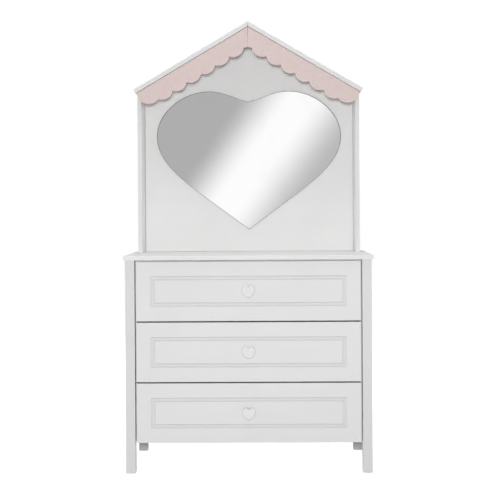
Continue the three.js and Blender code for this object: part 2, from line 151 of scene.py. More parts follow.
def bump(start, height, depth, strength, under=None):
    inputs = {"Height": height, "Distance": depth, "Strength": strength}
    if under:
        inputs["Normal"] = under
    return start.make("ShaderNodeBump", None, inputs)


def relief(start, scale, detail, depth, strength, under=None):
    return bump(start, grain(start, scale, detail), depth, strength, under)


def marked(start, name):
    # The mark that the bench tools below leave on a piece's faces
    return start.make("ShaderNodeAttribute", {"attribute_name": name}, output="Fac")


# One paint, lighter or darker by board as painted light and shade: the top and back board lighter, the legs,
# posts and roof darker than the fronts. Its other tones are shares of the board's own: the edge tone a
# painted highlight, the tone of the grooves painted shade
whiteTones = dict(front=0.773, top=0.805, leg=0.73, post=0.719, roof=0.70, board=0.783)
whiteLook = dict(
    cloudy=0.975, edge=1.13, rub=0.92, paintedShade=0.825, warmth=0.997,
    clouds=dict(scale=2.6, low=0.38, high=0.66),
    streaks=dict(scale=9, low=0.45, high=0.72, detail=3, stretch=(0.35, 1, 1.6)), streakShare=0.4,
    specks=dict(scale=900, low=0.66, high=0.74, detail=2), speckShare=0.2, edgeShare=0.8,
    scuffs=dict(scale=60, low=0.56, high=0.66), scuffShare=0.15, scuffRoughness=0.12,
    roughness=0.38, roughSwing=0.10, roughScale=22, coat=0.08, coatRoughness=0.13, specular=0.5,
    peel=dict(scale=420, detail=2, depth=0.05 * mm, strength=0.55),
    pores=dict(scale=1500, detail=1, depth=0.02 * mm, strength=0.3),
)
topLook = dict(whiteLook, roughness=0.62, coat=0.02, specular=0.12)
legLook = dict(whiteLook, roughness=0.55, coat=0.02, specular=0.2)
postLook = dict(whiteLook, coat=0.35)
roofLook = dict(whiteLook, edge=1.02)
boardLook = dict(whiteLook, cloudy=0.965, edge=1.09,
                 streaks=dict(whiteLook["streaks"], scale=16, stretch=(0.16, 1, 1.5)))


def whiteLacquer(name, tone, look=whiteLook):
    material, start = newMaterial(name)
    paint = {key: grey(tone * look[key], look["warmth"]) for key in ("cloudy", "edge", "rub", "paintedShade")}
    edge = marked(start, "edge")
    scuff = edge * patches(start, **look["scuffs"])
    colour = patches(start, **look["clouds"]).mix(grey(tone, look["warmth"]), paint["cloudy"])
    colour = (patches(start, **look["streaks"]) * look["streakShare"]).mix(colour, paint["cloudy"])
    colour = (patches(start, **look["specks"]) * look["speckShare"]).mix(colour, paint["rub"])
    # Painted highlight along the rounded edges
    colour = (edge * look["edgeShare"]).mix(colour, paint["edge"])
    colour = (scuff * look["scuffShare"]).mix(colour, paint["rub"])
    # Painted shade in the drawer fronts' grooves and sunk band
    colour = marked(start, "paintedShade").mix(colour, paint["paintedShade"])
    return surface(material, start, colour=colour, specular=look["specular"],
                   roughness=uneven(start, look) + scuff * look["scuffRoughness"],
                   coat=look["coat"] * (1 - scuff), coatRoughness=look["coatRoughness"],
                   normal=relief(start, **look["pores"], under=relief(start, **look["peel"])))


pinkLook = dict(
    colour=(0.650, 0.538, 0.515, 1), beige=(0.640, 0.562, 0.524, 1),
    rose=(0.645, 0.508, 0.515, 1), edge=(0.79, 0.62, 0.60, 1), edgeShare=0.85,
    beigePatches=dict(scale=58, low=0.46, high=0.66),
    rosePatches=dict(scale=44, low=0.46, high=0.64, stretch=(1, 1, 1.3)), roseShare=0.8,
    finePatches=dict(scale=180, low=0.35, high=0.75, detail=3), fineShare=0.2,
    roughness=0.46, roughSwing=0.10, roughScale=30, coat=0.05, coatLoss=0.5, coatRoughness=0.3,
    peel=dict(scale=380, detail=3, depth=0.06 * mm, strength=0.6),
)


def pinkLacquer():
    look = pinkLook
    material, start = newMaterial("pinkLacquer")
    fine = patches(start, **look["finePatches"])
    colour = patches(start, **look["beigePatches"]).mix(look["colour"], look["beige"])
    colour = (patches(start, **look["rosePatches"]) * look["roseShare"]).mix(colour, look["rose"])
    colour = (fine * look["fineShare"]).mix(colour, look["rose"])
    # Painted highlight along the rounded rim
    colour = (marked(start, "edge") * look["edgeShare"]).mix(colour, look["edge"])
    return surface(material, start, colour=colour, roughness=uneven(start, look),
                   coat=look["coat"] * (1 - fine * look["coatLoss"]), coatRoughness=look["coatRoughness"],
                   normal=relief(start, **look["peel"]))


melamineLook = dict(
    colour=(0.77, 0.77, 0.755, 1), shade=(0.735, 0.735, 0.72, 1), edge=(0.70, 0.69, 0.66, 1), edgeShare=0.6,
    clouds=dict(scale=5, low=0.4, high=0.68),
    fibres=dict(scale=130, low=0.52, high=0.72, stretch=(0.25, 1, 1)), fibreShare=0.15,
    roughness=0.55, roughSwing=0.14, roughScale=45,
    pebbleScale=900, pebbleDepth=0.09 * mm, pebbleStrength=0.4,
)


def whiteMelamine():
    look = melamineLook
    material, start = newMaterial("whiteMelamine")
    colour = patches(start, **look["clouds"]).mix(look["colour"], look["shade"])
    colour = (patches(start, **look["fibres"]) * look["fibreShare"]).mix(colour, look["shade"])
    colour = (marked(start, "edge") * look["edgeShare"]).mix(colour, look["edge"])
    pebbles = cells(start, look["pebbleScale"], "SMOOTH_F1", "Distance")
    return surface(material, start, colour=colour, roughness=uneven(start, look),
                   normal=bump(start, pebbles, look["pebbleDepth"], look["pebbleStrength"]))


knobLook = dict(
    colour=(0.79, 0.79, 0.787, 1), shade=(0.77, 0.77, 0.767, 1), worn=(0.74, 0.74, 0.732, 1),
    rim=(0.55, 0.55, 0.547, 1), clouds=dict(scale=60, low=0.4, high=0.7, detail=3),
    wear=dict(scale=180, low=0.58, high=0.7), wearShare=0.4,
    roughness=0.36, roughSwing=0.10, roughScale=220, coat=0.15, coatRoughness=0.2,
    peel=dict(scale=700, detail=2, depth=0.03 * mm, strength=0.5),
)


def knobLacquer():
    look = knobLook
    material, start = newMaterial("knobLacquer")
    worn = patches(start, **look["wear"])
    colour = patches(start, **look["clouds"]).mix(look["colour"], look["shade"])
    colour = (worn * look["wearShare"]).mix(colour, look["worn"])
    # Painted shade on the knob's rim, darkest along its top
    colour = marked(start, "paintedShade").mix(colour, look["rim"])
    return surface(material, start, colour=colour, roughness=uneven(start, look),
                   coat=look["coat"] * (1 - worn), coatRoughness=look["coatRoughness"],
                   normal=relief(start, **look["peel"]))


mirrorLook = dict(
    silver=(0.933, 0.933, 0.933, 1), haze=(0.903, 0.903, 0.903, 1), edge=(0.28, 0.285, 0.285, 1),
    hazePatches=dict(scale=7, low=0.5, high=0.8, detail=3),
    wipes=dict(scale=24, low=0.62, high=0.78, stretch=(1, 1, 0.3)),
    roughness=0.012, wipeRoughness=0.012, edgeRoughness=0.25,
    wave=dict(scale=2, detail=1, depth=0.02 * mm, strength=0.3),
)


def mirrorGlass():
    look = mirrorLook
    material, start = newMaterial("mirrorGlass")
    edge = marked(start, "edge")
    silver = patches(start, **look["hazePatches"]).mix(look["silver"], look["haze"])
    roughness = look["roughness"] + patches(start, **look["wipes"]) * look["wipeRoughness"]
    # The marked edge is darkened as a painted dark reflection and contact shade
    return surface(material, start, colour=edge.mix(silver, look["edge"]), metallic=1.0,
                   roughness=roughness + edge * look["edgeRoughness"], normal=relief(start, **look["wave"]))


zincLook = dict(
    colour=(0.62, 0.63, 0.65, 1), dull=(0.48, 0.49, 0.51, 1), bright=(0.74, 0.75, 0.76, 1),
    spangleScale=160, flakeShare=0.6, flakeRoughness=0.06,
    stains=dict(scale=40, low=0.48, high=0.72, detail=5), stainShare=0.5,
    drawn=dict(scale=260, low=0.35, high=0.7, detail=3, stretch=(1, 0.03, 1)), drawnRoughness=0.16,
    roughness=0.26, lineDepth=0.03 * mm, lineStrength=0.5,
)


def zincSteel():
    look = zincLook
    material, start = newMaterial("zincSteel")
    spangle = cells(start, look["spangleScale"], "F1", "Color")
    flake = start.make("ShaderNodeSeparateColor", None, {"Color": spangle})
    drawn = patches(start, **look["drawn"])
    colour = (flake * look["flakeShare"]).mix(look["colour"], look["bright"])
    colour = (patches(start, **look["stains"]) * look["stainShare"]).mix(colour, look["dull"])
    roughness = drawn * look["drawnRoughness"] + flake * look["flakeRoughness"] + look["roughness"]
    return surface(material, start, colour=colour, roughness=roughness, metallic=1.0,
                   normal=bump(start, drawn, look["lineDepth"], look["lineStrength"]))


glideLook = dict(
    colour=(0.70, 0.70, 0.685, 1), grimy=(0.56, 0.55, 0.53, 1),
    grime=dict(scale=120, low=0.5, high=0.74, detail=5), grimeShare=0.6,
    roughness=0.52, roughSwing=0.16, roughScale=240, roughDetail=3,
    pits=dict(scale=1100, detail=2, depth=0.06 * mm, strength=0.6),
)


def glidePlastic():
    look = glideLook
    material, start = newMaterial("glidePlastic")
    colour = (patches(start, **look["grime"]) * look["grimeShare"]).mix(look["colour"], look["grimy"])
    return surface(material, start, colour=colour, roughness=uneven(start, look),
                   normal=relief(start, **look["pits"]))


materials = {
    # The copies of the white lacquer differ in tone as painted light and shade
    "white_lacquer": whiteLacquer("frontLacquer", whiteTones["front"]),
    "topLacquer": whiteLacquer("topLacquer", whiteTones["top"], topLook),
    "legLacquer": whiteLacquer("legLacquer", whiteTones["leg"], legLook),
    "postLacquer": whiteLacquer("postLacquer", whiteTones["post"], postLook),
    "roofLacquer": whiteLacquer("roofLacquer", whiteTones["roof"], roofLook),
    "boardLacquer": whiteLacquer("boardLacquer", whiteTones["board"], boardLook),
    "pink_lacquer": pinkLacquer(),
    "white_melamine": whiteMelamine(),
    "knob_lacquer": knobLacquer(),
    "mirror_glass": mirrorGlass(),
    "zinc_steel": zincSteel(),
    "glide_plastic": glidePlastic(),
}
print("materials mixed:", len(materials))


# Bench tools
def takeUp(piece):
    bpy.ops.object.select_all(action="DESELECT")
    piece.select_set(True)
    bpy.context.view_layer.objects.active = piece


def openMesh(piece):
    takeUp(piece)
    bpy.ops.object.mode_set(mode="EDIT")


def closeMesh():
    bpy.ops.object.mode_set(mode="OBJECT")


def pick(piece, kind, test):
    bpy.ops.mesh.select_mode(type=kind)
    bpy.ops.mesh.select_all(action="DESELECT")
    shape = bmesh.from_edit_mesh(piece.data)
    for part in shape.faces if kind == "FACE" else shape.edges:
        if test(part):
            part.select_set(True)
    shape.select_flush_mode()
    bmesh.update_edit_mesh(piece.data)


def pickEdges(piece, test):
    # The test gets the two ends of an edge
    pick(piece, "EDGE", lambda edge: test(edge.verts[0].co, edge.verts[1].co))


def pickFront(piece, y):
    # The faces that look straight to the front and lie at this depth or before it
    straight = -0.99
    pick(piece, "FACE", lambda face: face.normal.y < straight and face.calc_center_median().y < y + hair)


def applied(piece, kind, **settings):
    takeUp(piece)
    modifier = piece.modifiers.new(kind.title(), kind)
    for name, value in settings.items():
        setattr(modifier, name, value)
    bpy.ops.object.modifier_apply(modifier=modifier.name)


def settle(piece):
    takeUp(piece)
    bpy.ops.object.transform_apply(location=True, rotation=True, scale=True)
    return piece


def board(name, low, high, radius):
    bpy.ops.object.select_all(action="DESELECT")
    middle = [(a + b) / 2 for a, b in zip(low, high)]
    size = [b - a for a, b in zip(low, high)]
    bpy.ops.mesh.primitive_cube_add(size=1, location=middle, scale=size)
    piece = bpy.context.active_object
    piece.name = piece.data.name = name
    settle(piece)
    if radius:
        openMesh(piece)
        bpy.ops.mesh.select_all(action="SELECT")
        bpy.ops.mesh.bevel(offset=radius, segments=edgeSteps, affect="EDGES")
        closeMesh()
    return piece


def sawn(piece, point, normal, radius):
    # Cuts away what lies on the normal's side of the point and rounds the new edges
    openMesh(piece)
    bpy.ops.mesh.select_all(action="SELECT")
    bpy.ops.mesh.bisect(plane_co=point, plane_no=normal, use_fill=True, clear_outer=True)
    point = Vector(point)
    normal = Vector(normal).normalized()
    pickEdges(piece, lambda a, b: max(abs((a - point).dot(normal)), abs((b - point).dot(normal))) < touching)
    bpy.ops.mesh.bevel(offset=radius, segments=edgeSteps, affect="EDGES")
    closeMesh()


def bored(piece, cutter, operation="DIFFERENCE"):
    applied(piece, "BOOLEAN", object=cutter, operation=operation, solver="EXACT")
    bpy.data.objects.remove(cutter)
    return piece


def crossCut(piece, centre, axis, start, end, wide, long):
    # The driver's cross: two slots that reach from start to end along the axis
    along = "XYZ".index(axis)
    across, up = [i for i in range(3) if i != along]
    for halfAcross, halfUp in ((wide, long), (long, wide)):
        low, high = Vector(centre), Vector(centre)
        low[along], high[along] = start, end
        low[across] -= halfAcross
        high[across] += halfAcross
        low[up] -= halfUp
        high[up] += halfUp
        bored(piece, board("crossCutter", low, high, 0))
    return piece


def joined(name, pieces):
    bpy.ops.object.select_all(action="DESELECT")
    for piece in pieces:
        piece.select_set(True)
    bpy.context.view_layer.objects.active = pieces[0]
    bpy.ops.object.join()
    pieces[0].name = pieces[0].data.name = name
    return pieces[0]


def copied(source, name, move=(0, 0, 0), mirrored=False):
    piece = source.copy()
    piece.data = source.data.copy()
    piece.name = piece.data.name = name
    bpy.context.scene.collection.objects.link(piece)
    piece.data.transform(Matrix.Translation(move) @ Matrix.Diagonal((-1 if mirrored else 1, 1, 1, 1)))
    if mirrored:
        piece.data.flip_normals()
    return piece


def meshed(name, curve):
    # The drawn curve becomes a mesh
    piece = bpy.data.objects.new(name, curve)
    bpy.context.scene.collection.objects.link(piece)
    takeUp(piece)
    bpy.ops.object.convert(target="MESH")
    piece = bpy.context.active_object
    piece.name = piece.data.name = name
    return piece


def weld():
    bpy.ops.mesh.select_all(action="SELECT")
    bpy.ops.mesh.remove_doubles(threshold=touching)
    bpy.ops.mesh.normals_make_consistent(inside=False)


def turned(name, profile, place, axis="Z", steps=48):
    # A lathe: the profile's points are (radius, height along the axis)
    curve = bpy.data.curves.new(name, "CURVE")
    curve.dimensions = "3D"
    spline = curve.splines.new("POLY")
    spline.points.add(len(profile) - 1)
    for point, (radius, along) in zip(spline.points, profile):
        point.co = (radius, 0, along, 1)
    piece = meshed(name, curve)
    openMesh(piece)
    bpy.ops.mesh.select_all(action="SELECT")
    bpy.ops.mesh.spin(steps=steps, angle=2 * math.pi, center=(0, 0, 0), axis=(0, 0, 1))
    weld()
    closeMesh()
    turns = {"X": Matrix.Rotation(math.pi / 2, 4, "Y"), "Y": Matrix.Rotation(-math.pi / 2, 4, "X"),
             "Z": Matrix.Identity(4)}
    piece.data.transform(Matrix.Translation(place) @ turns[axis])
    return piece


def dome(radius, base, height, flat, brim, steps):
    # A screw's head for the lathe: the top's flat and the brim are shares of the radius and height
    points = []
    for i in range(1, steps + 1):
        angle = i / steps * math.pi / 2
        points.append((radius * (flat + (1 - flat) * math.cos(angle)),
                       base + height * (brim + (1 - brim) * math.sin(angle))))
    return points + [(0, base + height)]


def sawnOutline(name, points, y0, y1, rounding, handles=None, resolution=12, roundSteps=3):
    # An outline in X and Z cut from a board that reaches from y0 to y1, with rounded edges
    curve = bpy.data.curves.new(name, "CURVE")
    curve.dimensions = "2D"
    curve.fill_mode = "BOTH"
    curve.resolution_u = resolution
    curve.extrude = (y1 - y0) / 2 - rounding
    curve.bevel_depth = rounding
    curve.bevel_resolution = roundSteps
    curve.offset = -rounding
    spline = curve.splines.new("BEZIER" if handles else "POLY")
    if handles:
        spline.bezier_points.add(len(points) - 1)
        for knot, (x, z), (before, after) in zip(spline.bezier_points, points, handles):
            knot.co = (x, z, 0)
            knot.handle_left_type = knot.handle_right_type = "FREE"
            knot.handle_left = (before[0], before[1], 0)
            knot.handle_right = (after[0], after[1], 0)
    else:
        spline.points.add(len(points) - 1)
        for knot, (x, z) in zip(spline.points, points):
            knot.co = (x, z, 0, 1)
    spline.use_cyclic_u = True
    piece = meshed(name, curve)
    piece.data.transform(Matrix.Translation((0, (y0 + y1) / 2, 0)) @ Matrix.Rotation(math.pi / 2, 4, "X"))
    openMesh(piece)
    weld()
    bpy.ops.mesh.dissolve_limited(angle_limit=flatAngle)
    closeMesh()
    return piece


def markEdges(piece, widest):
    # Rounded edges are narrow faces, marked for the materials: a painted highlight on the lacquers, a painted
    # dark reflection and shade on the mirror's edge, and the edge tone and wear on the others
    mark = piece.data.attributes.new("edge", "FLOAT", "FACE")
    points = piece.data.vertices
    for face in piece.data.polygons:
        corners = [points[i].co for i in face.vertices]
        longest = max((a - b).length for a, b in zip(corners, corners[1:] + corners[:1]))
        mark.data[face.index].value = 1.0 if face.area < widest * longest else 0.0


def dress(piece, node, edgeFace=0.0, angle=40, body=None, slot=None, finish=None):
    # Faces narrower than edgeFace are rounded edges; the finish is the slot's own, if none is named
    if edgeFace:
        markEdges(piece, edgeFace)
    takeUp(piece)
    bpy.ops.object.shade_smooth_by_angle(angle=math.radians(angle))
    applied(piece, "WEIGHTED_NORMAL", keep_sharp=True, weight=80)
    slot = slot or slotOf[node]
    piece.data.materials.clear()
    piece.data.materials.append(materials[finish or slot])
    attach(piece, body or bodyOf[node])
    if node:
        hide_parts(node)


def dressCorners(first, node, name, **finishing):
    # The first piece stands at the front left, and its copies at the other corners
    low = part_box(f"{node}_front_left")[0]
    for row in rows:
        for side in sides:
            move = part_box(f"{node}_{row}_{side}")[0] - low
            piece = copied(first, f"{name}{row.title()}{side.title()}", move) if move.length else first
            dress(piece, f"{node}_{row}_{side}", **finishing)


def dressDrawers(first, part, name, **finishing):
    # The first piece belongs to the bottom drawer, and its copies to the others
    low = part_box(f"drawer_bottom_{part}")[0]
    pieces = [first]
    for level in drawers[1:]:
        pieces.append(copied(first, f"{name}{level.title()}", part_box(f"drawer_{level}_{part}")[0] - low))
    for level, piece in zip(drawers, pieces):
        dress(piece, f"drawer_{level}_{part}", **finishing)


def dressPair(right, node, **finishing):
    # The right piece, and its mirror image on the left
    left = copied(right, right.name.replace("Right", "Left"), mirrored=True)
    dress(right, node, **finishing)
    dress(left, node.replace("_right", "_left"), **finishing)


# Top, legs and carcass boards
topPanel = dict(edge=1.0 * mm, edgeFace=1.2 * mm)
dress(board("topPanel", *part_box("top_panel"), topPanel["edge"]), "top_panel", topPanel["edgeFace"],
      finish="topLacquer")

leg = dict(edge=1.3 * mm, edgeFace=1.2 * mm)
firstLeg = board("legFrontLeft", *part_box("leg_front_left"), leg["edge"])
dressCorners(firstLeg, "leg", "leg", edgeFace=leg["edgeFace"], finish="legLacquer")

glide = dict(thickness=1.5 * mm, chamfer=0.5 * mm, chamferSoft=0.15 * mm, spigot=4 * mm, spigotTip=1.2 * mm,
             ribs=4, ribDeep=0.4 * mm, ribRise=0.4 * mm)
low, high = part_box("foot_glide_front_left")
radius = (high.x - low.x) / 2
top = high.z - low.z
thickness, chamfer, soft = glide["thickness"], glide["chamfer"], glide["chamferSoft"]
groove = glide["spigot"] - glide["ribDeep"]
profile = [(0, 0), (radius - chamfer, 0), (radius - soft, soft), (radius, chamfer),
           (radius, thickness - soft), (radius - soft, thickness)]
for i in range(glide["ribs"]):
    base = thickness + i * (top - thickness - glide["spigotTip"]) / glide["ribs"]
    profile += [(groove, base), (glide["spigot"], base + glide["ribRise"])]
profile += [(groove, top - glide["spigotTip"]), (glide["spigot"] / 2, top), (0, top)]
place = Vector(((low.x + high.x) / 2, (low.y + high.y) / 2, low.z))
dressCorners(turned("glideFrontLeft", profile, place), "foot_glide", "glide", angle=30)
print("top, legs and glides made")

carcassBoards = dict(sideEdge=0.8 * mm, sideFace=0.8 * mm, panelEdge=0.5 * mm, panelFace=0.6 * mm)
for side in sides:
    node = f"side_panel_{side}"
    sidePanel = board(f"sidePanel{side.title()}", *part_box(node), carcassBoards["sideEdge"])
    dress(sidePanel, node, carcassBoards["sideFace"])
for name, node in (("bottomPanel", "bottom_panel"), ("backPanel", "back_panel"), ("frontRail", "front_rail")):
    dress(board(name, *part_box(node), carcassBoards["panelEdge"]), node, carcassBoards["panelFace"])
print("carcass boards made")


# Small screws round the back panel: one pan head, modelled once
panHead = dict(radius=4.0 * mm, height=1.8 * mm, flat=0.35, brim=0.25, domeSteps=8, steps=32,
               crossLong=2.6 * mm, crossWide=0.55 * mm, crossDeep=1.1 * mm)
backScrews = dict(inset=9 * mm, perSide=4, perEdge=6, scale=0.8)


def panHeadMade(name):
    h = panHead
    profile = [(0, 0), (h["radius"], 0)]
    profile += dome(h["radius"], 0, h["height"], h["flat"], h["brim"], h["domeSteps"])
    piece = turned(name, profile, (0, 0, 0), steps=h["steps"])
    floor = h["height"] - h["crossDeep"]
    return crossCut(piece, (0, 0, 0), "Z", floor, 2 * h["height"], h["crossWide"], h["crossLong"])


def screwsAt(name, places, direction, scale):
    # Heads that sit on a face and point in the direction
    source = panHeadMade("panHeadSource")
    turn = Vector((0, 0, 1)).rotation_difference(Vector(direction)).to_matrix().to_4x4()
    heads = []
    for i, place in enumerate(places):
        head = copied(source, f"{name}{i}")
        head.data.transform(Matrix.Translation(place) @ turn @ Matrix.Diagonal((scale, scale, scale, 1)))
        heads.append(head)
    bpy.data.objects.remove(source)
    return joined(name, heads)


low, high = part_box("back_panel")
inset = backScrews["inset"]
places = []
for i in range(backScrews["perEdge"]):
    x = low.x + inset + i / (backScrews["perEdge"] - 1) * (high.x - low.x - 2 * inset)
    places += [(x, high.y, low.z + inset), (x, high.y, high.z - inset)]
for i in range(1, backScrews["perSide"]):
    z = low.z + i / backScrews["perSide"] * (high.z - low.z)
    places += [(low.x + inset, high.y, z), (high.x - inset, high.y, z)]
heads = screwsAt("backPanelScrews", places, (0, 1, 0), backScrews["scale"])
dress(heads, None, body="carcass", slot="zinc_steel")
print("fasteners made")


# Runners: a bent channel on the carcass and a smaller one on the drawer
runner = dict(wall=1.2 * mm, bend=1.6 * mm, bendSteps=4, slots=4, slotLong=14 * mm, slotHigh=5 * mm,
              slotRound=0.98, slotSteps=5, overrun=5 * mm)


def channel(name, low, high, openSide):
    # The web stands on the side away from openSide, and both flanges point to openSide
    web, tip = (low.x, high.x) if openSide > 0 else (high.x, low.x)
    middle = (low.z + high.z) / 2
    bpy.ops.object.select_all(action="DESELECT")
    bpy.ops.mesh.primitive_plane_add(size=1, location=(web, (low.y + high.y) / 2, middle),
                                     rotation=(0, math.pi / 2, 0))
    piece = bpy.context.active_object
    piece.name = piece.data.name = name
    piece.scale = (high.z - low.z, high.y - low.y, 1)
    settle(piece)
    openMesh(piece)
    for z in (low.z, high.z):
        pickEdges(piece, lambda a, b: max(abs(a.z - z), abs(b.z - z), abs(a.x - web)) < touching)
        bpy.ops.mesh.extrude_region_move(TRANSFORM_OT_translate={"value": (tip - web, 0, 0)})
    pickEdges(piece, lambda a, b: max(abs(a.x - web), abs(b.x - web), abs(a.z - b.z)) < touching)
    bpy.ops.mesh.bevel(offset=runner["bend"], segments=runner["bendSteps"], affect="EDGES")
    bpy.ops.mesh.select_all(action="SELECT")
    bpy.ops.mesh.normals_make_consistent(inside=False)
    closeMesh()
    applied(piece, "SOLIDIFY", thickness=runner["wall"], offset=0, use_even_offset=True)
    for i in (0, 2):  # the sheet has grown both ways and is brought back to its box
        lowNow = min(vertex.co[i] for vertex in piece.data.vertices)
        highNow = max(vertex.co[i] for vertex in piece.data.vertices)
        for vertex in piece.data.vertices:
            vertex.co[i] = low[i] + (vertex.co[i] - lowNow) / (highNow - lowNow) * (high[i] - low[i])
    step = (high.y - low.y) / runner["slots"]
    half, tall, over = runner["slotLong"] / 2, runner["slotHigh"] / 2, runner["overrun"]
    slots = []
    for i in range(runner["slots"]):
        y = low.y + (i + 0.5) * step
        slot = board(f"slotCutter{i}", (web - over, y - half, middle - tall),
                     (web + over, y + half, middle + tall), 0)
        openMesh(slot)
        pickEdges(slot, lambda a, b: max(abs(a.y - b.y), abs(a.z - b.z)) < touching)
        bpy.ops.mesh.bevel(offset=tall * runner["slotRound"], segments=runner["slotSteps"], affect="EDGES")
        closeMesh()
        slots.append(slot)
    return bored(piece, joined("slotCutters", slots))


for level in drawers:
    for side in sides:
        outward = -1 if side == "left" else 1
        ending = f"{level.title()}{side.title()}"
        for name, node, openSide in (("runnerRail", f"runner_rail_{level}_{side}", -outward),
                                     ("drawerSlide", f"drawer_{level}_slide_{side}", outward)):
            dress(channel(name + ending, *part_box(node), openSide), node, angle=35)
print("runners made")


# Drawer boxes
drawerBox = dict(groove=4.6 * mm, grooveDeep=5 * mm, grooveRise=9.7 * mm, sideEdge=0.4 * mm,
                 backEdge=0.8 * mm, baseEdge=0.4 * mm, edgeFace=0.6 * mm)
for level in drawers:
    low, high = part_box(f"drawer_{level}_side_right")
    grooveFoot = low.z + drawerBox["grooveRise"]
    grooveTop = grooveFoot + drawerBox["groove"]
    inner = low.x + drawerBox["grooveDeep"]
    section = [(high.x, low.z), (low.x, low.z), (low.x, grooveFoot), (inner, grooveFoot),
               (inner, grooveTop), (low.x, grooveTop), (low.x, high.z), (high.x, high.z)]
    piece = sawnOutline(f"drawerSide{level.title()}Right", section, low.y, high.y, drawerBox["sideEdge"],
                        roundSteps=1)
    dressPair(piece, f"drawer_{level}_side_right", edgeFace=drawerBox["edgeFace"])
    for part in ("back", "base"):
        node = f"drawer_{level}_{part}"
        piece = board(f"drawer{part.title()}{level.title()}", *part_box(node), drawerBox[f"{part}Edge"])
        dress(piece, node, drawerBox["edgeFace"])
print("drawer boxes made")


# Drawer fronts with a routed ring: two round grooves with a slightly sunk band between them
ring = dict(edge=1.7 * mm, edgeFace=0.75 * mm, inset=54 * mm, width=16.4 * mm, groove=5 * mm, deep=2.4 * mm,
            band=0.9 * mm, steps=8, uprightDull=0.5, facing=0.2, faint=0.02)


def ringProfile():
    # The router's path from the ring's outline inwards, as (way inwards, depth)
    points = []
    for i in range(1, ring["steps"] + 1):
        along = i / ring["steps"] * ring["groove"]
        dip = ring["deep"] * math.sin(math.pi * along / ring["groove"])
        points.append((along, dip if along <= ring["groove"] / 2 else max(dip, ring["band"])))
    farSide = [(ring["width"] - along, depth) for along, depth in reversed(points[:-1])]
    return points + [(ring["width"] - ring["groove"], ring["band"])] + farSide + [(ring["width"], 0)]


def markRing(piece, low, high):
    # The deeper a face lies behind the front, the more painted shade it takes, and the upright runs take it
    # all across
    mark = piece.data.attributes.new("paintedShade", "FLOAT", "FACE")
    for face in piece.data.polygons:
        depth = face.center.y - low.y
        fromSide = min(face.center.x - low.x, high.x - face.center.x)
        fromFoot = min(face.center.z - low.z, high.z - face.center.z)
        dull = 0.0
        if face.normal.y < -ring["facing"] and depth < 2 * ring["deep"]:
            dull = min(max(depth / ring["deep"], 0), 1)
            if dull > ring["faint"] and ring["inset"] < fromSide < fromFoot:
                dull = ring["uprightDull"]
        mark.data[face.index].value = dull


def drawerFront(name, low, high):
    piece = board(name, low, high, ring["edge"])
    openMesh(piece)
    pickFront(piece, low.y)
    bpy.ops.mesh.inset(thickness=ring["inset"] - ring["edge"], depth=0)
    along, depth = 0, 0
    for nextAlong, nextDepth in ringProfile():
        bpy.ops.mesh.inset(thickness=nextAlong - along, depth=depth - nextDepth, use_even_offset=True)
        along, depth = nextAlong, nextDepth
    closeMesh()
    markRing(piece, low, high)
    return piece


firstFront = drawerFront("drawerFrontBottom", *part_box("drawer_bottom_front"))
dressDrawers(firstFront, "front", "drawerFront", edgeFace=ring["edgeFace"], angle=50)
print("drawer fronts made")


# Hearts: shares of the half width and of the height, from the tip at the origin
mirrorHeart = dict(flankEnd=(0.4, 0.196), flankPull=(0.73, 0.358), wideBelow=0.492, wide=0.675,
                   wideAbove=0.848, lobeOuter=0.719, lobe=0.438, lobeInner=0.229, cleftPull=(0.107, 0.927),
                   cleft=0.927)
knobHeart = dict(flankEnd=(0.3, 0.07), flankPull=(0.72, 0.17), wideBelow=0.42, wide=0.66, wideAbove=0.85,
                 lobeOuter=0.76, lobe=0.46, lobeInner=0.22, cleftPull=(0.08, 0.91), cleft=0.84)


def heartBoard(name, shares, low, high, rounding, roundSteps, resolution):
    # The front's rim is rounded by drawing in the face towards the heart's middle, step by step
    half = (high.x - low.x) / 2
    centre = (high.x + low.x) / 2
    height = high.z - low.z

    def at(x, z, sign=1):
        return (centre + sign * x * half, low.z + z * height)

    s = shares
    third = (s["flankEnd"][0] / 3, s["flankEnd"][1] / 3)
    rightSide = [
        (at(*s["flankEnd"]), at(2 * third[0], 2 * third[1]), at(*s["flankPull"])),
        (at(1, s["wide"]), at(1, s["wideBelow"]), at(1, s["wideAbove"])),
        (at(s["lobe"], 1), at(s["lobeOuter"], 1), at(s["lobeInner"], 1)),
    ]
    knots = [((centre, low.z), at(*third, sign=-1), at(*third))]
    knots += rightSide
    knots += [(at(0, s["cleft"]), at(*s["cleftPull"]), at(*s["cleftPull"], sign=-1))]
    for point, before, after in reversed(rightSide):
        knots.append(tuple((2 * centre - x, z) for x, z in (point, after, before)))
    points = [point for point, before, after in knots]
    handles = [(before, after) for point, before, after in knots]
    piece = sawnOutline(name, points, low.y + rounding, high.y, 0, handles, resolution)
    openMesh(piece)
    pickFront(piece, low.y + rounding)
    middle = (centre, low.y, (low.z + high.z) / 2)
    sizeNow = 1.0
    for i in range(1, roundSteps + 1):
        angle = i / roundSteps * math.pi / 2
        out = rounding * (math.sin(angle) - math.sin(angle - math.pi / 2 / roundSteps))
        size = 1 - rounding / half * (1 - math.cos(angle))
        bpy.ops.mesh.extrude_region_move(TRANSFORM_OT_translate={"value": (0, -out, 0)})
        bpy.ops.transform.resize(value=(size / sizeNow, 1, size / sizeNow), center_override=middle)
        sizeNow = size
    closeMesh()
    return piece


knob = dict(faceDeep=11 * mm, rounding=3.0 * mm, roundSteps=6, curveSteps=10, rimTilt=math.radians(33),
            sideShade=0.62, stem=9 * mm, neck=7 * mm, waist=2.2, stemSteps=12, overlap=1 * mm)


def markRim(piece):
    # The rim: faces that turn away from the front by more than the tilt take painted shade, darkest along its
    # top
    mark = piece.data.attributes.new("paintedShade", "FLOAT", "FACE")
    for face in piece.data.polygons:
        dull = knob["sideShade"] + (1 - knob["sideShade"]) * max(face.normal.z, 0)
        mark.data[face.index].value = dull if face.normal.y > -math.cos(knob["rimTilt"]) else 0.0


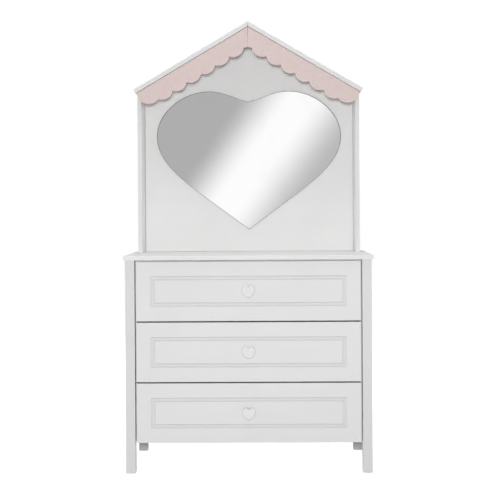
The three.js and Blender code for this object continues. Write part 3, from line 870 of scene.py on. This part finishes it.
low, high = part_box("drawer_bottom_knob")
faceRear = low.y + knob["faceDeep"]
firstKnob = heartBoard("knobBottom", knobHeart, low, Vector((high.x, faceRear, high.z)),
                       knob["rounding"], knob["roundSteps"], knob["curveSteps"])
reach = high.y - faceRear
profile = [(0, -knob["overlap"]), (knob["stem"], -knob["overlap"])]
for i in range(knob["stemSteps"] + 1):
    along = i / knob["stemSteps"]
    radius = knob["neck"] + (knob["stem"] - knob["neck"]) * abs(2 * along - 1) ** knob["waist"]
    profile.append((radius, along * reach))
profile.append((0, reach))
stemPiece = turned("knobStem", profile, ((low.x + high.x) / 2, faceRear, (low.z + high.z) / 2), "Y")
bored(firstKnob, stemPiece, "UNION")
markRim(firstKnob)
dressDrawers(firstKnob, "knob", "knob", angle=50)

screw = dict(shank=2 * mm, plain=1.9 * mm, tip=1 * mm, tipRise=0.3 * mm, lead=0.6 * mm, thread=0.35 * mm,
             pitch=1.0 * mm, threadedShare=0.7, plainFrom=0.75, head=4.5 * mm, headHigh=2.6 * mm, flat=0.4,
             brim=0.3, domeSteps=6, steps=32, crossWide=0.6 * mm, crossLong=2.8 * mm, crossDeep=1.3 * mm,
             overrun=1 * mm)
low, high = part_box("drawer_bottom_knob_screw")
centre = (low + high) / 2
shankLong = high.y - low.y - screw["headHigh"]
profile = [(0, 0), (screw["tip"], screw["tipRise"])]
for i in range(int(shankLong * screw["threadedShare"] / screw["pitch"])):
    profile.append((screw["shank"] - screw["thread"], screw["lead"] + i * screw["pitch"]))
    profile.append((screw["shank"], screw["lead"] + (i + 0.5) * screw["pitch"]))
profile += [(screw["plain"], shankLong * screw["plainFrom"]), (screw["plain"], shankLong)]
profile += [(screw["head"], shankLong), (screw["head"], shankLong + screw["headHigh"] * screw["brim"])]
profile += dome(screw["head"], shankLong, screw["headHigh"], screw["flat"], screw["brim"], screw["domeSteps"])
firstScrew = turned("knobScrewBottom", profile, (centre.x, low.y, centre.z), "Y", screw["steps"])
crossCut(firstScrew, centre, "Y", high.y - screw["crossDeep"], high.y + screw["overrun"],
         screw["crossWide"], screw["crossLong"])
dressDrawers(firstScrew, "knob_screw", "knobScrew", angle=35)
print("knobs and their screws made")


# Mirror unit
roof = dict(slope=math.radians(30.5), thickness=17 * mm, gap=0.3 * mm, edge=1.0 * mm, edgeFace=0.9 * mm,
            seam=0.5 * mm)
slope = roof["slope"]
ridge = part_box("roof_board_left")[1].z + roof["gap"] / 2 * math.tan(slope)
ridgeUnder = ridge - roof["thickness"] / math.cos(slope)
seatedRidge = ridgeUnder - roof["gap"] / math.cos(slope)

backBoard = dict(edge=1.5 * mm, edgeFace=1.2 * mm, sawnEdge=0.8 * mm, joint=1.2 * mm, footJoint=0.8 * mm)
low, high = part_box("mirror_back_board")
joint = Vector((backBoard["joint"], 0, 0))
foot = Vector((0, 0, backBoard["footJoint"]))
back = board("mirrorBackBoard", low + joint + foot, high - joint, backBoard["edge"])
for sign in (-1, 1):
    sawn(back, (0, 0, seatedRidge), (sign * math.sin(slope), 0, math.cos(slope)), backBoard["sawnEdge"])
dress(back, "mirror_back_board", backBoard["edgeFace"], finish="boardLacquer")

upright = dict(edge=1.1 * mm, edgeFace=0.9 * mm, sawnEdge=0.6 * mm)
cam = dict(radius=7.5 * mm, deep=12 * mm, room=0.3 * mm, roomOverrun=2 * mm, steps=48, chamfer=0.7 * mm,
           dish=0.5 * mm, dishShare=0.62, rimShare=0.72, slotLong=4 * mm, slotWide=1 * mm, slotDeep=3 * mm,
           slotOverrun=1 * mm)
low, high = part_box("upright_right")
post = board("uprightRight", low, high, upright["edge"])
sawn(post, (0, 0, seatedRidge), (math.sin(slope), 0, math.cos(slope)), upright["sawnEdge"])
for row in rows:
    camLow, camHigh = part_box(f"cam_lock_right_{row}")
    bpy.ops.object.select_all(action="DESELECT")
    deep = cam["deep"] + cam["room"]
    middle = (low.x + (deep - cam["roomOverrun"]) / 2, (camLow.y + camHigh.y) / 2, (camLow.z + camHigh.z) / 2)
    bpy.ops.mesh.primitive_cylinder_add(vertices=cam["steps"], radius=cam["radius"] + cam["room"],
                                        depth=deep + cam["roomOverrun"], location=middle,
                                        rotation=(0, math.pi / 2, 0))
    bored(post, settle(bpy.context.active_object))
dressPair(post, "upright_right", edgeFace=upright["edgeFace"], finish="postLacquer")

low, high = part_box("cam_lock_right_front")
place = Vector((low.x, (low.y + high.y) / 2, (low.z + high.z) / 2))
radius, chamfer, deep = cam["radius"], cam["chamfer"], cam["deep"]
profile = [(0, cam["dish"]), (radius * cam["dishShare"], cam["dish"]), (radius * cam["rimShare"], 0),
           (radius - chamfer, 0), (radius, chamfer), (radius, deep - chamfer), (radius - chamfer, deep),
           (0, deep)]
firstCam = turned("camLockRightFront", profile, place, "X", cam["steps"])
crossCut(firstCam, place, "X", place.x - cam["slotOverrun"], place.x + cam["slotDeep"],
         cam["slotWide"], cam["slotLong"])
secondCam = copied(firstCam, "camLockRightRear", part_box("cam_lock_right_rear")[0] - low)
for row, piece in zip(rows, (firstCam, secondCam)):
    dressPair(piece, f"cam_lock_right_{row}", angle=30)
print("back board, uprights and cam locks made")


def slopeZ(top, x):
    return top - x * math.tan(slope)


low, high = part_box("roof_board_right")
inner, outer = roof["seam"], high.x
outerUnder = outer - roof["thickness"] * math.sin(slope)
section = [(inner, slopeZ(ridgeUnder, inner)), (outerUnder, slopeZ(ridgeUnder, outerUnder)),
           (outer, slopeZ(ridge, outer)), (inner, slopeZ(ridge, inner))]
roofRight = sawnOutline("roofBoardRight", section, low.y, high.y, roof["edge"])
dressPair(roofRight, "roof_board_right", edgeFace=roof["edgeFace"], finish="roofLacquer")

fascia = dict(deep=65.8 * mm, sag=15.8 * mm, scallops=6, centreHalf=16.5 * mm, centreRise=3.6 * mm,
              endRadius=47 * mm, endDeep=23 * mm, endInset=5.2 * mm, steps=12, endSteps=24, edge=2.0 * mm,
              edgeFace=1.4 * mm, seamTop=0.6 * mm, seamFoot=0.2 * mm, topJoint=0.9 * mm, corner=2.2 * mm)


def slopePoint(u, v):
    # u runs down the roof's underside from the ridge, v is square to it
    cos, sin = math.cos(slope), math.sin(slope)
    return (u * cos - v * sin, seatedRidge - u * sin - v * cos)


def arc(centreU, centreV, radius, start, end, steps):
    angles = [start + (end - start) * i / steps for i in range(1, steps + 1)]
    return [slopePoint(centreU + radius * math.cos(a), centreV + radius * math.sin(a)) for a in angles]


def fasciaOutline():
    f = fascia
    endStart = math.pi - math.asin((f["deep"] - f["endDeep"]) / f["endRadius"])
    endStop = -math.asin(f["endDeep"] / f["endRadius"])
    lastU = (outerUnder - f["endInset"]) / math.cos(slope)
    endCentre = lastU - f["endRadius"] * math.cos(endStop)
    first = (f["centreHalf"] + f["deep"] * math.sin(slope)) / math.cos(slope)
    last = endCentre + f["endRadius"] * math.cos(endStart)
    pitch = (last - first) / f["scallops"]
    radius = ((pitch / 2) ** 2 + f["sag"] ** 2) / (2 * f["sag"])
    centreV = f["deep"] + f["sag"] - radius
    halfAngle = math.asin(pitch / 2 / radius)
    cusp = slopePoint(first, f["deep"])
    corner = slopePoint(f["corner"], f["topJoint"])
    points = [corner, (f["seamTop"], corner[1] - f["corner"]), (f["seamFoot"], cusp[1] + f["centreRise"])]
    points.append(cusp)
    for i in range(f["scallops"]):
        centreU = first + (i + 0.5) * pitch
        points += arc(centreU, centreV, radius, math.pi / 2 + halfAngle, math.pi / 2 - halfAngle, f["steps"])
    points += arc(endCentre, f["endDeep"], f["endRadius"], endStart, endStop, f["endSteps"])
    return points[:-1] + [slopePoint(lastU, f["topJoint"])]


low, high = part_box("scalloped_fascia_right")
fasciaRight = sawnOutline("fasciaRight", fasciaOutline(), low.y, high.y, fascia["edge"])
dressPair(fasciaRight, "scalloped_fascia_right", edgeFace=fascia["edgeFace"], angle=35)

mirror = dict(edge=2.7 * mm, edgeFace=1.7 * mm, edgeSteps=3, curveSteps=24, lobeTrim=2.6 * mm)
low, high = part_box("heart_mirror")
high.z -= mirror["lobeTrim"]
heart = heartBoard("heartMirror", mirrorHeart, low, high, mirror["edge"], mirror["edgeSteps"],
                   mirror["curveSteps"])
dress(heart, "heart_mirror", mirror["edgeFace"], angle=25)
print("roof, fascia and mirror made")


# Floor, surroundings, lamps and camera
stageSet = dict(floorHalf=14.0, floorColour=0.55, floorGlow=0.86, ambient=0.3)


def seenRays(start):
    # 1 where the camera looks, straight, in a reflection or through glass; 0 for the light of the room
    rays = [start.make("ShaderNodeLightPath", output=f"Is {kind} Ray")
            for kind in ("Camera", "Glossy", "Transmission")]
    return start.math("ADD", rays[0] + rays[1], rays[2], clamp=True)


def floorMaterial():
    material, start = newMaterial("studioFloor")
    matt = start.make("ShaderNodeBsdfDiffuse", None, {"Color": grey(stageSet["floorColour"])})
    glow = start.make("ShaderNodeEmission", None, {"Strength": seenRays(start) * stageSet["floorGlow"]})
    both = start.make("ShaderNodeAddShader", None, {0: matt, 1: glow})
    start.make("ShaderNodeOutputMaterial", None, {"Surface": both})
    return material


bpy.ops.object.select_all(action="DESELECT")
bpy.ops.mesh.primitive_plane_add(size=2 * stageSet["floorHalf"], location=(0, 0, 0))
floor = bpy.context.active_object
floor.name = "studioFloor"
floor.data.materials.append(floorMaterial())

world = bpy.data.worlds.new("studio")
bpy.context.scene.world = world
world.use_nodes = True
world.node_tree.nodes.clear()
start = Wire(world.node_tree)
strength = seenRays(start) * (1 - stageSet["ambient"]) + stageSet["ambient"]
background = start.make("ShaderNodeBackground", None, {"Color": (1, 1, 1, 1), "Strength": strength})
start.make("ShaderNodeOutputWorld", None, {"Surface": background})


def softbox(name, place, target, size, power, spread=180):
    lamp = bpy.data.lights.new(name, "AREA")
    lamp.shape = "DISK"
    lamp.size = size
    lamp.energy = power
    lamp.spread = math.radians(spread)
    thing = bpy.data.objects.new(name, lamp)
    bpy.context.scene.collection.objects.link(thing)
    thing.location = place
    direction = Vector(target) - Vector(place)
    thing.rotation_euler = direction.to_track_quat("-Z", "Y").to_euler()
    thing.visible_glossy = False
    thing.visible_camera = False


sideLamp = dict(target=(0, -0.1, 1.2), size=1.2, power=4.5, spread=60)
lamps = dict(
    keyLamp=dict(place=(0, -5.0, 1.3), target=(0, 0, 1.0), size=0.5, power=128),
    overLamp=dict(place=(0, -0.35, 3.6), target=(0, -0.1, 0), size=1.4, power=32.7),
    leftLamp=dict(sideLamp, place=(-4.5, -0.7, 1.6)),
    rightLamp=dict(sideLamp, place=(4.5, -0.7, 1.6)),
    rearLamp=dict(place=(0, 4.4, 2.0), target=(0, 0, 1.0), size=2.0, power=78),
)
for name, lamp in lamps.items():
    softbox(name, **lamp)

# A card behind the camera for the mirror to show, seen by reflections alone
card = dict(y=-7.0, x0=-1.9, x1=1.9, z0=-0.6, z1=3.4, dark=0.455, light=1.046, second=0.525,
            slant=math.radians(35), rise=(-1.383, -0.916), fall=(-0.747, -0.247))


def cardMaterial():
    material, start = newMaterial("reflectedCard")
    place = start.make("ShaderNodeTexCoord", output="Object")
    x = place.make("ShaderNodeSeparateXYZ", None, {"Vector": place}, output="X")
    z = place.make("ShaderNodeSeparateXYZ", None, {"Vector": place}, output="Z")
    across = x * math.cos(card["slant"]) - z * math.sin(card["slant"])
    strength = across.ramp(*card["rise"]) * (card["light"] - card["dark"]) + card["dark"]
    strength = strength - across.ramp(*card["fall"]) * (card["light"] - card["second"])
    glow = start.make("ShaderNodeEmission", None, {"Strength": strength})
    start.make("ShaderNodeOutputMaterial", None, {"Surface": glow})
    return material


bpy.ops.object.select_all(action="DESELECT")
cardMiddle = ((card["x0"] + card["x1"]) / 2, card["y"], (card["z0"] + card["z1"]) / 2)
bpy.ops.mesh.primitive_plane_add(size=1, location=cardMiddle, rotation=(math.pi / 2, 0, 0))
cardPiece = bpy.context.active_object
cardPiece.name = "reflectedCard"
cardPiece.scale = (card["x1"] - card["x0"], card["z1"] - card["z0"], 1)
settle(cardPiece)
cardPiece.data.materials.append(cardMaterial())
for ray in ("camera", "diffuse", "transmission", "volume_scatter", "shadow"):
    setattr(cardPiece, f"visible_{ray}", False)

view = dict(place=(0.0605, -4.663, 1.0008), yaw=math.radians(0.787), pitch=math.radians(0.40),
            roll=math.radians(-0.351), lens=85.42, sensor=36.0, shiftX=0.00473, shiftY=-0.0697, far=100)
ahead = math.cos(view["pitch"])
forward = Vector((-math.sin(view["yaw"]) * ahead, math.cos(view["yaw"]) * ahead, -math.sin(view["pitch"])))
right = Vector((math.cos(view["yaw"]), math.sin(view["yaw"]), 0))
up = right.cross(forward)
rolledRight = right * math.cos(view["roll"]) + up * math.sin(view["roll"])
rolledUp = up * math.cos(view["roll"]) - right * math.sin(view["roll"])
lens = bpy.data.cameras.new("photographView")
lens.lens = view["lens"]
lens.sensor_width = view["sensor"]
lens.shift_x = view["shiftX"]
lens.shift_y = view["shiftY"]
lens.clip_end = view["far"]
eye = bpy.data.objects.new("photographView", lens)
bpy.context.scene.collection.objects.link(eye)
turn = Matrix((rolledRight, rolledUp, -forward)).transposed()
eye.matrix_world = Matrix.Translation(view["place"]) @ turn.to_4x4()
bpy.context.scene.camera = eye
bpy.context.scene.view_settings.view_transform = "Standard"
print("stage, lamps and camera set")
